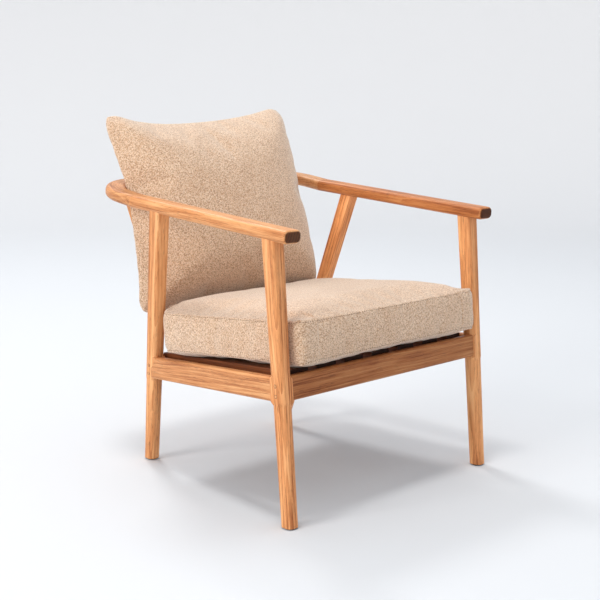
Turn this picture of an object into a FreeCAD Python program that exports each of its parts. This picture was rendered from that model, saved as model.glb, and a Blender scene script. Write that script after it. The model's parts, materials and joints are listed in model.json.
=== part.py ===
import FreeCAD, Part
import math
import os

import Sketcher
from FreeCAD import Placement, Rotation, Vector

# Wooden armchair with a loose seat cushion and a loose back cushion.
# Frame of the model: millimetres, +Z up, the floor at Z = 0, X across the chair with X = 0
# its plane of symmetry, and the sitter faces -Y. "left" is the sitter's left, +X.
# Every paired piece is modelled on the left and mirrored to the right.

doc = FreeCAD.newDocument("armchair")

# ---------------------------------------------------------------- driving dimensions
SIZES = [
    # where the leg axes cross the underside of the arms, and where they reach the floor
    ("front_top_x", 309.0), ("front_top_y", -283.0), ("front_top_z", 588.6),
    ("front_foot_x", 308.5), ("front_foot_y", -331.0),
    ("rear_top_x", 302.5), ("rear_top_y", 87.0), ("rear_top_z", 613.2),
    ("rear_foot_x", 214.5), ("rear_foot_y", 247.0),
    # leg sections, X by Y: rounded square shafts, and at the rails a block that keeps only
    # its outermost corner as round as the shaft
    ("leg_width", 34.0), ("leg_depth", 37.0),
    ("lower_width", 33.0), ("lower_depth", 35.0),
    ("foot_width", 30.0), ("foot_depth", 32.0), ("foot_round", 12.0),
    ("top_round", 7.0), ("shaft_round", 14.0), ("block_round", 4.0),
    ("front_block_low", 262.0), ("front_block_high", 309.0),
    ("rear_block_low", 219.0), ("rear_block_high", 268.0),
    ("upper_shoulder", 5.0), ("lower_shoulder", 8.0), ("leg_into_arm", 12.0),
    ("tenon_radius", 11.0), ("tenon_reach", 17.0),
    ("glide_radius", 10.5), ("glide_height", 3.0),
    # seat deck: a plane that falls towards the back; rails hang below it
    ("deck_y", -305.4), ("deck_z", 313.0), ("deck_tilt", 5.2),
    ("rail_height", 51.0), ("rail_thick", 22.0), ("rail_round", 6.5),
    ("side_rail_front_x", 313.8), ("side_rail_rear_x", 254.5), ("side_rail_length", 490.0),
    ("front_rail_y", -5.0), ("rear_rail_y", 492.5),
    ("front_rail_length", 610.0), ("rear_rail_length", 492.0),
    ("rail_tenon_thick", 10.0), ("rail_tenon_height", 40.0),
    ("side_tenon_depth", 46.0), ("cross_tenon_depth", 32.0),
    ("side_tenon_past", 10.0), ("cross_tenon_short", 3.5),
    ("peg_radius", 3.8), ("peg_length", 20.0), ("peg_proud", 0.4),
    ("front_peg_low", 275.0), ("front_peg_high", 296.0),
    ("rear_peg_low", 229.0), ("rear_peg_high", 249.5),
    # seat slats on ledger strips, fanned out towards the front as the side rails are
    ("ledger_width", 18.0), ("ledger_height", 20.0), ("ledger_drop", 12.0), ("ledger_round", 1.5),
    ("front_ledger_length", 560.0), ("rear_ledger_length", 452.0),
    ("slat_width", 56.0), ("slat_thick", 18.0), ("slat_length", 468.0), ("slat_round", 2.5),
    ("slat_front_pitch", 84.0), ("slat_rear_pitch", 68.0), ("slat_start_y", 10.0),
    ("screw_radius", 1.9), ("screw_head_radius", 3.9), ("screw_head_height", 2.6),
    ("screw_length", 30.0), ("screw_inset", 9.0),
    # arms in a plane that rises towards the back; behind the joint it rises more steeply
    ("arm_front_x", 306.2), ("arm_rear_x", 298.7),
    ("arm_width", 47.0), ("arm_thick", 27.4), ("arm_round", 11.0), ("arm_end_round", 7.5),
    ("arm_overhang", 57.0), ("arm_joint_y", 457.0),
    ("corner_kick", 3.8), ("corner_radius", 105.5), ("corner_lap", 4.0),
    ("crest_reach", 154.5), ("crest_joint_x", 182.0),
    ("dowel_radius", 5.0), ("dowel_half_length", 22.0), ("dowel_spacing", 24.0),
    # back spindles between the rear rail and the crest rail
    ("spindle_radius", 8.0), ("spindle_top_pitch", 71.5), ("spindle_foot_pitch", 62.0),
    ("spindle_foot_back", 1.5), ("spindle_seat", 3.0),
    ("spigot_radius", 5.5), ("spigot_into_rail", 14.0), ("spigot_into_crest", 15.0),
    # seat cushion, in the deck's frame
    ("seat_width", 568.0), ("seat_depth", 500.0), ("seat_thick", 110.0),
    ("seat_corner", 20.0), ("seat_edge", 15.0), ("seat_front_y", -36.0), ("seat_lift", 6.4),
    ("notch_width", 50.0), ("notch_depth", 50.0),
    # back cushion: a pillow leaning back, from the plane of its seam to a smaller face in
    # front and one behind; heights run up its lean from its foot, depths back from it
    ("back_foot_y", 187.0), ("back_foot_z", 381.0), ("back_lean", 17.0),
    ("back_width", 528.0), ("back_height", 458.0), ("back_corner", 36.0),
    ("back_depth_at", -18.0), ("back_middle", 229.0),
    ("back_face_width", 340.0), ("back_face_height", 330.0), ("back_face_corner", 70.0),
    ("back_face_depth_at", -124.0), ("back_face_middle", 178.0),
    ("back_rear_width", 424.0), ("back_rear_height", 380.0), ("back_rear_corner", 60.0),
    ("back_rear_depth_at", 24.0), ("back_rear_middle", 240.0),
    ("cover_thick", 3.0),
]
sheet = doc.addObject("Spreadsheet::Sheet", "sizes")
for row, (alias, number) in enumerate(SIZES, start=1):
    sheet.set("A%d" % row, alias)
    sheet.set("B%d" % row, str(number))
    sheet.setAlias("B%d" % row, alias)
doc.recompute()


def size(alias):
    """The number in the sheet's cell of this name."""
    return float(sheet.get(alias))


def bind(obj, path, expression):
    """Drive one property by an expression in which each name is a cell of the sheet."""
    words = []
    for word in expression.split():
        words.append("sizes." + word if word[0].isalpha() else word)
    obj.setExpression(path, " ".join(words))


# ---------------------------------------------------------------- helpers
def new_body(name):
    body = doc.addObject("PartDesign::Body", name)
    body.Label = name
    return body


def origin_plane(body, role):
    return [item for item in body.Origin.OriginFeatures if item.Role == role][0]


def attached_sketch(body, name, role="XY_Plane"):
    sketch = body.newObject("Sketcher::SketchObject", name)
    sketch.AttachmentSupport = (origin_plane(body, role), "")
    sketch.MapMode = "FlatFace"
    return sketch


def less(alias, inset, times=1):
    """The expression for a size that is so many insets smaller; an empty inset changes nothing."""
    return "%s - %d * %s" % (alias, times, inset) if inset else alias


def rounded_rectangle(body, name, width, depth, radius, role="XY_Plane", inset="", other=None):
    """A sketch of a rectangle with rounded corners, centred on the body's origin.

    other is a corner's number, counted from +X +Y towards -X +Y, and that corner's own radius."""
    sketch = attached_sketch(body, name, role)
    shift = size(inset) if inset else 0.0
    x, y = size(width) / 2.0 - shift, size(depth) / 2.0 - shift
    odd, odd_radius = other if other else (None, radius)
    radii = [size(odd_radius if i == odd else radius) - shift for i in range(4)]
    normal = Vector(0, 0, 1)
    arcs, centres = [], []
    for turn, (sx, sy) in enumerate([(1, 1), (-1, 1), (-1, -1), (1, -1)]):
        r = radii[turn]
        centre = Vector(sx * (x - r), sy * (y - r), 0)
        start = turn * math.pi / 2.0
        arcs.append(sketch.addGeometry(Part.ArcOfCircle(Part.Circle(centre, normal, r),
                                                        start, start + math.pi / 2.0)))
        centres.append(centre)
    ends = [(centres[0].x, y, centres[1].x, y), (-x, centres[1].y, -x, centres[2].y),
            (centres[2].x, -y, centres[3].x, -y), (x, centres[3].y, x, centres[0].y)]
    sides = []
    for x1, y1, x2, y2 in ends:
        sides.append(sketch.addGeometry(Part.LineSegment(Vector(x1, y1, 0), Vector(x2, y2, 0))))
    for i in range(4):
        sketch.addConstraint(Sketcher.Constraint("Tangent", arcs[i], 2, sides[i], 1))
        sketch.addConstraint(Sketcher.Constraint("Tangent", sides[i], 2, arcs[(i + 1) % 4], 1))
    for i in (0, 2):
        sketch.addConstraint(Sketcher.Constraint("Horizontal", sides[i]))
        sketch.addConstraint(Sketcher.Constraint("Vertical", sides[i + 1]))
    alike = [i for i in range(4) if i != odd]
    for i in alike[1:]:
        sketch.addConstraint(Sketcher.Constraint("Equal", arcs[alike[0]], arcs[i]))
    half_width, half_depth = less(width + " / 2", inset), less(depth + " / 2", inset)
    dims = [("corner", Sketcher.Constraint("Radius", arcs[alike[0]], radii[alike[0]]),
             less(radius, inset)),
            ("right", Sketcher.Constraint("DistanceX", -1, 1, sides[3], 1, x), half_width),
            ("left", Sketcher.Constraint("DistanceX", sides[1], 1, -1, 1, x), half_width),
            ("upper", Sketcher.Constraint("DistanceY", -1, 1, sides[0], 1, y), half_depth),
            ("lower", Sketcher.Constraint("DistanceY", sides[2], 1, -1, 1, y), half_depth)]
    if other:
        dims.append(("odd_corner", Sketcher.Constraint("Radius", arcs[odd], radii[odd]),
                     less(odd_radius, inset)))
    for label, constraint, expression in dims:
        index = sketch.addConstraint(constraint)
        sketch.renameConstraint(index, label)
        bind(sketch, "Constraints." + label, expression)
    return sketch


def pad(body, sketch, length, name):
    feature = body.newObject("PartDesign::Pad", name)
    feature.Profile = sketch
    bind(feature, "Length", length)
    return feature


def round_edges(body, feature, radius, wanted):
    """Fillet the edges of a feature that the test `wanted` accepts."""
    doc.recompute()
    names = ["Edge%d" % (i + 1) for i, edge in enumerate(feature.Shape.Edges) if wanted(edge)]
    fillet = body.newObject("PartDesign::Fillet", body.Name + "_round")
    fillet.Base = (feature, names)
    bind(fillet, "Radius", radius)
    return fillet


def aimed(start, along, up):
    """A placement at `start` whose local Z runs along `along` and local Y leans to `up`."""
    z = Vector(along).normalize()
    x = Vector(up).cross(z).normalize()
    return Placement(start, Rotation(x, z.cross(x), z, "ZXY"))


def bar(name, width, height, length, radius, placement):
    """A straight bar with rounded edges: its section is in local XY, its length along Z."""
    body = new_body(name)
    section = rounded_rectangle(body, name + "_section", width, height, radius)
    pad(body, section, length, name + "_pad")
    body.Placement = placement
    return body


def cylinder(name, radius, height, placement):
    obj = doc.addObject("Part::Cylinder", name)
    bind(obj, "Radius", radius)
    bind(obj, "Height", height)
    obj.Placement = placement
    return obj


def box(name, length, width, height, placement):
    obj = doc.addObject("Part::Box", name)
    bind(obj, "Length", length)
    bind(obj, "Width", width)
    bind(obj, "Height", height)
    obj.Placement = placement
    return obj


def group(name, objects):
    """One object out of several; pieces that don't touch stay separate solids."""
    obj = doc.addObject("Part::Compound", name)
    obj.Links = objects
    return obj


def fuse(name, objects):
    obj = doc.addObject("Part::MultiFuse", name)
    obj.Shapes = objects
    return obj


def cut(name, base, *tools):
    obj = doc.addObject("Part::Cut", name)
    obj.Base = base
    obj.Tool = tools[0] if len(tools) == 1 else fuse(name + "_tools", list(tools))
    return obj


def mirrored(name, source):
    obj = doc.addObject("Part::Mirroring", name)
    obj.Source = source
    obj.Base = Vector(0, 0, 0)
    obj.Normal = Vector(1, 0, 0)
    return obj


# ---------------------------------------------------------------- frames of reference
X_AXIS = Vector(1, 0, 0)
Z_AXIS = Vector(0, 0, 1)

arm_rise = math.degrees(math.atan2(size("rear_top_z") - size("front_top_z"),
                                   size("rear_top_y") - size("front_top_y")))
arm_closing = math.degrees(math.atan2(size("arm_front_x") - size("arm_rear_x"),
                                      size("rear_top_y") - size("front_top_y")))
# local Y runs backwards along the arms, local Z stands on their underside
arm_plane = Placement(Vector(0, size("front_top_y"), size("front_top_z")),
                      Rotation(X_AXIS, arm_rise))
# local Y runs back along the left arm's own axis from above the front leg; the closing angle
# turns it towards the middle
arm_line = arm_plane.multiply(Placement(Vector(size("arm_front_x"), 0, size("arm_thick") / 2.0),
                                        Rotation(Z_AXIS, arm_closing)))
# the corner pieces and the crest rail lie in the local XY plane, which passes through the
# axes of the arms at the joints and is tipped up from there
arm_joint = arm_line.multVec(Vector(0, size("arm_joint_y"), 0))
crest_plane = Placement(Vector(0, arm_joint.y, arm_joint.z),
                        Rotation(X_AXIS, arm_rise + size("corner_kick")))
# local Y runs backwards along the seat, local Z stands on the tops of the rails
deck = Placement(Vector(0, size("deck_y"), size("deck_z")), Rotation(X_AXIS, -size("deck_tilt")))


def on(frame, x, y, z):
    return frame.multVec(Vector(x, y, z))


def turned(frame, x, y, z):
    """A direction given in a frame of reference, as a direction of the model."""
    return frame.Rotation.multVec(Vector(x, y, z))


def leg_axis(end, height):
    """The point of a leg's axis at a height above the floor. end is front or rear."""
    share = height / size(end + "_top_z")
    x = size(end + "_foot_x") + (size(end + "_top_x") - size(end + "_foot_x")) * share
    y = size(end + "_foot_y") + (size(end + "_top_y") - size(end + "_foot_y")) * share
    return Vector(x, y, height)


# ---------------------------------------------------------------- legs
def leg_blank(end):
    """A leg as straight lofts between level sections, from the glide up into the arm."""
    body = new_body(end + "_leg_blank")
    # the left leg's outermost corner, in rounded_rectangle's count
    outermost = {"front": 3, "rear": 0}[end]
    block = "block_round"
    levels = [
        ("glide_height", "foot_width", "foot_depth", "foot_round"),
        ("%s_block_low - lower_shoulder" % end, "lower_width", "lower_depth", "shaft_round"),
        ("%s_block_low" % end, "leg_width", "leg_depth", block),
        ("%s_block_high" % end, "leg_width", "leg_depth", block),
        ("%s_block_high + upper_shoulder" % end, "leg_width", "leg_depth", "shaft_round"),
        ("%s_top_z + leg_into_arm" % end, "leg_width", "leg_depth", "top_round"),
    ]
    sections = []
    for number, (height, width, depth, radius) in enumerate(levels):
        name = "%s_leg_section_%d" % (end, number)
        other = (outermost, "shaft_round") if radius == block else None
        sketch = rounded_rectangle(body, name, width, depth, radius, other=other)
        for axis in "xy":
            foot = "%s_foot_%s" % (end, axis)
            top = "%s_top_%s" % (end, axis)
            run = "%s + ( %s - %s ) * ( %s ) / %s_top_z" % (foot, top, foot, height, end)
            bind(sketch, ".AttachmentOffset.Base." + axis, run)
        bind(sketch, ".AttachmentOffset.Base.z", height)
        sections.append(sketch)
    loft = body.newObject("PartDesign::AdditiveLoft", end + "_leg_loft")
    loft.Profile = sections[0]
    loft.Sections = sections[1:]
    loft.Ruled = True
    return body


def arm_tenon(end):
    """The round tenon that a leg sends up into the arm, along the leg's axis."""
    top = leg_axis(end, size(end + "_top_z"))
    along = (top - leg_axis(end, 0)).normalize()
    start = top - along * size("tenon_reach")
    return cylinder(end + "_arm_tenon", "tenon_radius", "2 * tenon_reach",
                    aimed(start, along, Vector(0, 1, 0)))


def leg_pegs(end):
    """The two cross pegs that pin the side rail's tenon, driven from outside along X."""
    pegs = []
    for place in ("low", "high"):
        height = size("%s_peg_%s" % (end, place))
        axis = leg_axis(end, height)
        outer = axis.x + size("leg_width") / 2.0 + size("peg_proud")
        pegs.append(cylinder("%s_peg_%s" % (end, place), "peg_radius", "peg_length",
                             aimed(Vector(outer, axis.y, height), -X_AXIS, Z_AXIS)))
    return group(end + "_leg_pegs_left", pegs)


def glide(end):
    foot = leg_axis(end, 0)
    return cylinder(end + "_glide_left", "glide_radius", "glide_height",
                    Placement(foot, Rotation()))


# ---------------------------------------------------------------- arms, corners, crest
def arm_blank():
    """The straight arm, from its rounded front end back to the corner piece."""
    front_end = Vector(0, -size("arm_overhang"), 0)
    body = bar("arm_blank", "arm_width", "arm_thick", "arm_overhang + arm_joint_y", "arm_round",
               arm_line.multiply(aimed(front_end, Vector(0, 1, 0), Z_AXIS)))
    round_edges(body, body.Tip, "arm_end_round",
                lambda edge: edge.BoundBox.ZMax < 0.01)
    return body


def corner_blank():
    """The bent piece that joins an arm to the crest rail: a stub, an arc and a stub."""
    body = new_body("corner_blank")
    radius = size("corner_radius")
    closing = math.radians(arm_closing)
    center_y = size("crest_reach") - radius
    # the arc ends where its tangent has the arm's direction
    tangent_y = center_y + radius * math.sin(closing)
    tangent_x = arm_joint.x - tangent_y * math.tan(closing)
    center = Vector(tangent_x - radius * math.cos(closing), center_y, 0)
    start = Vector(size("crest_joint_x"), size("crest_reach"), 0)
    # the front stub laps into the arm, and is trimmed to the arm's end face later
    lap_y = size("corner_lap")
    lap_x = arm_joint.x + lap_y * math.tan(closing)

    spine = attached_sketch(body, "corner_spine")
    spine.addGeometry(Part.LineSegment(start, Vector(center.x, start.y, 0)))
    circle = Part.Circle(center, Z_AXIS, radius)
    spine.addGeometry(Part.ArcOfCircle(circle, closing, math.pi / 2.0))
    spine.addGeometry(Part.LineSegment(Vector(tangent_x, tangent_y, 0), Vector(lap_x, -lap_y, 0)))
    spine.addConstraint(Sketcher.Constraint("Horizontal", 0))
    spine.addConstraint(Sketcher.Constraint("Tangent", 0, 2, 1, 2))
    spine.addConstraint(Sketcher.Constraint("Tangent", 1, 1, 2, 1))
    measures = [("bend", Sketcher.Constraint("Radius", 1, radius), "corner_radius"),
                ("crest_end", Sketcher.Constraint("DistanceX", -1, 1, 0, 1, start.x),
                 "crest_joint_x"),
                ("crest_line", Sketcher.Constraint("DistanceY", -1, 1, 0, 1, start.y),
                 "crest_reach"),
                ("lap", Sketcher.Constraint("DistanceY", 2, 2, -1, 1, lap_y), "corner_lap")]
    for label, constraint, expression in measures:
        index = spine.addConstraint(constraint)
        spine.renameConstraint(index, label)
        bind(spine, "Constraints." + label, expression)
    spine.addConstraint(Sketcher.Constraint("DistanceX", -1, 1, 2, 2, lap_x))

    section = rounded_rectangle(body, "corner_section", "arm_width", "arm_thick", "arm_round",
                                "YZ_Plane")
    bind(section, ".AttachmentOffset.Base.x", "crest_reach")
    bind(section, ".AttachmentOffset.Base.z", "crest_joint_x")
    sweep = body.newObject("PartDesign::AdditivePipe", "corner_sweep")
    sweep.Profile = section
    sweep.Spine = spine
    body.Placement = crest_plane
    return body


def joint_block():
    """A block in front of the arm's end face, larger than the arm: it trims the corner piece."""
    front = Vector(-size("arm_width"), size("arm_joint_y") - 4 * size("corner_lap"),
                   -size("arm_thick"))
    return box("joint_block", "2 * arm_width", "4 * corner_lap", "2 * arm_thick",
               arm_line.multiply(Placement(front, Rotation())))


def crest_blank():
    start = on(crest_plane, -size("crest_joint_x"), size("crest_reach"), 0)
    return bar("crest_blank", "arm_width", "arm_thick", "2 * crest_joint_x", "arm_round",
               aimed(start, X_AXIS, turned(crest_plane, 0, 0, 1)))


def dowel_pair(name, center, along, across):
    """Two dowels side by side across a butt joint, each reaching as far into both pieces."""
    pair = []
    for side in (-1, 1):
        middle = center + across * (side * size("dowel_spacing") / 2.0)
        start = middle - along * size("dowel_half_length")
        pair.append(cylinder("%s_%d" % (name, (side + 3) // 2), "dowel_radius",
                             "2 * dowel_half_length", aimed(start, along, Z_AXIS)))
    return group(name, pair)


def arm_dowels():
    return dowel_pair("arm_dowels_left", arm_joint, turned(arm_line, 0, 1, 0),
                      turned(arm_line, 1, 0, 0))


def crest_dowels():
    center = on(crest_plane, size("crest_joint_x"), size("crest_reach"), 0)
    return dowel_pair("crest_dowels_left", center, X_AXIS, turned(crest_plane, 0, 1, 0))


# ---------------------------------------------------------------- seat frame
def side_rail_frame():
    """Local Z runs back along the side rail's centre line, local Y up."""
    middle = -size("rail_height") / 2.0
    front = Vector(size("side_rail_front_x"), 0, middle)
    rear = Vector(size("side_rail_rear_x"), size("rear_rail_y"), middle)
    return deck.multiply(aimed(front, rear - front, Z_AXIS))


def rail_tenon(name, depth, placement):
    """A tenon block centred on the placement's Z axis, with its thickness along local X."""
    shift = Vector(-size("rail_tenon_thick") / 2.0, -size("rail_tenon_height") / 2.0, 0)
    return box(name, "rail_tenon_thick", "rail_tenon_height", depth,
               placement.multiply(Placement(shift, Rotation())))


def cross_rail_frame(y, x):
    """At a point of a front or rear rail's centre line; local Z runs out to the left."""
    start = on(deck, x, y, -size("rail_height") / 2.0)
    return aimed(start, X_AXIS, turned(deck, 0, 0, 1))


def cross_rail_blank(name, y, length):
    return bar(name, "rail_thick", "rail_height", length, "rail_round",
               cross_rail_frame(size(y), -size(length) / 2.0))


def ledger(name, y, length):
    """A strip along the inside of a cross rail; the slats lie on it."""
    z = -size("ledger_drop") - size("ledger_height") / 2.0
    start = on(deck, -size(length) / 2.0, y, z)
    return bar(name, "ledger_width", "ledger_height", length, "ledger_round",
               aimed(start, X_AXIS, turned(deck, 0, 0, 1)))


def slat_frame(place, height):
    """Local Z runs back along a slat from its front end, at a height above the deck. place
    counts pitches from the middle of the chair."""
    front = on(deck, place * size("slat_front_pitch"), size("slat_start_y"), height)
    rear = on(deck, place * size("slat_rear_pitch"),
              size("slat_start_y") + size("slat_length"), height)
    return aimed(front, rear - front, turned(deck, 0, 0, 1))


def slat_blank(number, place):
    middle = -size("ledger_drop") + size("slat_thick") / 2.0
    return bar("slat_blank_%d" % number, "slat_width", "slat_thick", "slat_length", "slat_round",
               slat_frame(place, middle))


def screw_shape():
    """A countersunk screw, its head's flat face at the origin and its point along -Z."""
    head = size("screw_head_radius")
    shank = size("screw_radius")
    collar = size("screw_head_height")
    length = size("screw_length")
    outline = [Vector(0, 0, 0), Vector(head, 0, 0), Vector(shank, 0, -collar),
               Vector(shank, 0, -length + 2 * shank), Vector(0, 0, -length), Vector(0, 0, 0)]
    return Part.Face(Part.makePolygon(outline)).revolve(Vector(0, 0, 0), Z_AXIS, 360)


def slat_screws(places):
    """One screw at each end of each slat, flush with the slat's top."""
    shapes = []
    top = -size("ledger_drop") + size("slat_thick")
    for place in places:
        for along in (size("screw_inset"), size("slat_length") - size("screw_inset")):
            screw = screw_shape()
            screw.Placement = Placement(on(slat_frame(place, top), 0, 0, along), deck.Rotation)
            shapes.append(screw)
    node = doc.addObject("Part::Feature", "slat_screws")
    node.Shape = Part.makeCompound(shapes)
    return node


def spindle(number, place):
    """A round back spindle with a thinner spigot at each end. place counts pitches from the
    middle of the chair."""
    foot = on(deck, place * size("spindle_foot_pitch"),
              size("rear_rail_y") + size("spindle_foot_back"), 0)
    head = on(crest_plane, place * size("spindle_top_pitch"), size("crest_reach"),
              -size("arm_thick") / 2.0)
    run = head - foot
    along = Vector(run).normalize()
    name = "spindle_%d" % number
    pieces = []
    for part, radius, below, above in (
            ("shaft", "spindle_radius", "spindle_seat", "spindle_seat"),
            ("spigot", "spigot_radius", "spigot_into_rail", "spigot_into_crest")):
        pieces.append(cylinder("%s_%s" % (name, part), radius,
                               "%s + %.3f + %s" % (below, run.Length, above),
                               aimed(foot - along * size(below), along, Vector(0, 1, 0))))
    return fuse(name, pieces)


# ---------------------------------------------------------------- cushions
def seat_block(name, inset=""):
    """The seat cushion's outside, or its foam by an inset; notched round the rear legs."""
    shift = size(inset) if inset else 0.0
    rear_y = size("seat_front_y") + size("seat_depth")
    body = new_body(name + "_block")
    plan = rounded_rectangle(body, name + "_plan", "seat_width", "seat_depth", "seat_corner",
                             inset=inset)
    feature = pad(body, plan, less("seat_thick", inset, 2), name + "_pad")
    round_edges(body, feature, less("seat_edge", inset), lambda e: e.BoundBox.ZLength < 0.01)
    middle = Vector(0, rear_y - size("seat_depth") / 2.0, size("seat_lift") + shift)
    body.Placement = deck.multiply(Placement(middle, Rotation()))
    corner = Vector(size("seat_width") / 2.0 - size("notch_width") - shift,
                    rear_y - size("notch_depth") - shift, 0)
    notch = box(name + "_notch", "2 * notch_width", "2 * notch_depth", "2 * seat_thick",
                deck.multiply(Placement(corner, Rotation())))
    return cut(name, body, notch, mirrored(name + "_notch_right", notch))


def back_block(name, inset=""):
    """The back cushion's outside, or its filling by an inset: lofts between upright planes."""
    body = new_body(name)
    sections = []
    for place, sign in (("back_face", 1), ("back", 0), ("back_rear", -1)):
        sketch = rounded_rectangle(body, "%s_%s" % (name, place), place + "_width",
                                   place + "_height", place + "_corner", "XZ_Plane", inset)
        bind(sketch, ".AttachmentOffset.Base.y", place + "_middle")
        # the plane's normal points forwards, against the depth
        depth = "0 - %s_depth_at" % place
        if inset and sign:
            depth += " - %d * %s" % (sign, inset)
        bind(sketch, ".AttachmentOffset.Base.z", depth)
        sections.append(sketch)
    loft = body.newObject("PartDesign::AdditiveLoft", name + "_loft")
    loft.Profile = sections[0]
    loft.Sections = sections[1:]
    loft.Ruled = True
    body.Placement = Placement(Vector(0, size("back_foot_y"), size("back_foot_z")),
                               Rotation(X_AXIS, -size("back_lean")))
    return body


# ---------------------------------------------------------------- assembly
nodes = {}

arm_stock = arm_blank()
corner_stock = corner_blank()
crest_stock = crest_blank()
dowels_arm = arm_dowels()
dowels_crest = crest_dowels()
tenons = {}
pegs = {}
leg_stock = {}
leg_stock_right = {}
for end in ("front", "rear"):
    leg_stock[end] = leg_blank(end)
    leg_stock_right[end] = mirrored(end + "_leg_blank_right", leg_stock[end])
    tenons[end] = arm_tenon(end)
    pegs[end] = leg_pegs(end)
    nodes[end + "_glide_left"] = glide(end)
    nodes[end + "_leg_pegs_left"] = pegs[end]

# rails: cut to the legs' faces, then given their tenons
rail_frame = side_rail_frame()
rail_run = math.hypot(size("side_rail_front_x") - size("side_rail_rear_x"), size("rear_rail_y"))
side_stock = bar("side_rail_blank", "rail_thick", "rail_height", "side_rail_length", "rail_round",
                 rail_frame)
rear_tenon_start = rail_run + size("side_tenon_past") - size("side_tenon_depth")
side_tenon = {
    "front": rail_tenon("side_front_tenon", "side_tenon_depth", rail_frame.multiply(
        Placement(Vector(0, 0, -size("side_tenon_past")), Rotation()))),
    "rear": rail_tenon("side_rear_tenon", "side_tenon_depth", rail_frame.multiply(
        Placement(Vector(0, 0, rear_tenon_start), Rotation()))),
}
cross_tenon = {}
for end, y in (("front", "front_rail_y"), ("rear", "rear_rail_y")):
    # the cross rails' tenons stop short of the side rails' tenons inside the legs
    tip = leg_axis(end, size(end + "_block_low")).x - size("cross_tenon_short")
    cross_tenon[end] = rail_tenon(end + "_rail_tenon", "cross_tenon_depth",
                                  cross_rail_frame(size(y), tip - size("cross_tenon_depth")))

side_shouldered = cut("side_rail_shouldered", side_stock, leg_stock["front"], leg_stock["rear"])
side_joined = fuse("side_rail_joined", [side_shouldered, side_tenon["front"], side_tenon["rear"]])
nodes["side_rail_left"] = cut("side_rail_left", side_joined, pegs["front"], pegs["rear"])

spindles = [spindle(i + 1, i - 3) for i in range(7)]
for obj in spindles:
    nodes[obj.Name] = obj

for end, y in (("front", "front_rail_y"), ("rear", "rear_rail_y")):
    stock = cross_rail_blank(end + "_rail_blank", y, end + "_rail_length")
    shouldered = cut(end + "_rail_shouldered", stock, leg_stock[end], leg_stock_right[end])
    joined = fuse(end + "_rail_joined", [shouldered, cross_tenon[end],
                                         mirrored(end + "_rail_tenon_right", cross_tenon[end])])
    if end == "rear":
        joined = cut("rear_rail_bored", joined, *spindles)
    nodes[end + "_rail"] = joined

# legs: scribed to the arm's underside, tenoned into it, mortised for the rails and pegs
for end in ("front", "rear"):
    scribed = cut(end + "_leg_scribed", leg_stock[end], arm_stock)
    tenoned = fuse(end + "_leg_tenoned", [scribed, tenons[end]])
    nodes[end + "_leg_left"] = cut(end + "_leg_left", tenoned, side_tenon[end],
                                   cross_tenon[end], pegs[end])

nodes["arm_left"] = cut("arm_left", arm_stock, tenons["front"], tenons["rear"], dowels_arm)
nodes["corner_left"] = cut("corner_left", corner_stock, joint_block(), dowels_arm,
                           dowels_crest, spindles[-1])
nodes["arm_dowels_left"] = dowels_arm
nodes["crest_dowels_left"] = dowels_crest
crest_dowels_right = mirrored("crest_dowels_right", dowels_crest)
nodes["crest_rail"] = cut("crest_rail", crest_stock, dowels_crest, crest_dowels_right,
                          *spindles[1:-1])

for label in [name for name in nodes if name.endswith("_left")]:
    right = label[:-len("left")] + "right"
    nodes[right] = crest_dowels_right if right == "crest_dowels_right" else \
        mirrored(right, nodes[label])

ledger_reach = (size("rail_thick") + size("ledger_width")) / 2.0
nodes["front_ledger"] = ledger("front_ledger_blank", size("front_rail_y") + ledger_reach,
                               "front_ledger_length")
nodes["rear_ledger"] = ledger("rear_ledger_blank", size("rear_rail_y") - ledger_reach,
                              "rear_ledger_length")
slat_places = range(-3, 4)
screws = slat_screws(slat_places)
for end in ("front", "rear"):
    nodes[end + "_ledger"] = cut(end + "_ledger", nodes[end + "_ledger"], screws)
for number, place in enumerate(slat_places, start=1):
    nodes["seat_slat_%d" % number] = cut("seat_slat_%d" % number, slat_blank(number, place),
                                         screws)
nodes["slat_screws"] = screws

nodes["seat_foam"] = seat_block("seat_foam", "cover_thick")
nodes["seat_cover"] = cut("seat_cover", seat_block("seat_outside"), nodes["seat_foam"])
nodes["back_filling"] = back_block("back_filling", "cover_thick")
nodes["back_cover"] = cut("back_cover", back_block("back_outside"), nodes["back_filling"])

for label, obj in nodes.items():
    obj.Label = label
doc.recompute()

# ---------------------------------------------------------------- checks and export
for obj in doc.Objects:
    if "Invalid" in obj.State or "Error" in obj.State:
        raise RuntimeError("%s is %s" % (obj.Label, obj.State))
for label, obj in nodes.items():
    if obj.Shape.isNull() or not obj.Shape.isValid() or obj.Shape.Volume < 1.0:
        raise RuntimeError("%s has no valid shape" % label)

os.makedirs("parts", exist_ok=True)
for label, obj in nodes.items():
    obj.Shape.exportStep("parts/%s.step" % label)
    print("%-24s solids %d  volume %.1f cm3" % (label, len(obj.Shape.Solids),
                                                obj.Shape.Volume / 1000.0))
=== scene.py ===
import json
import math

import bmesh
import bpy
from mathutils import Matrix, Vector
from mathutils.bvhtree import BVHTree


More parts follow.
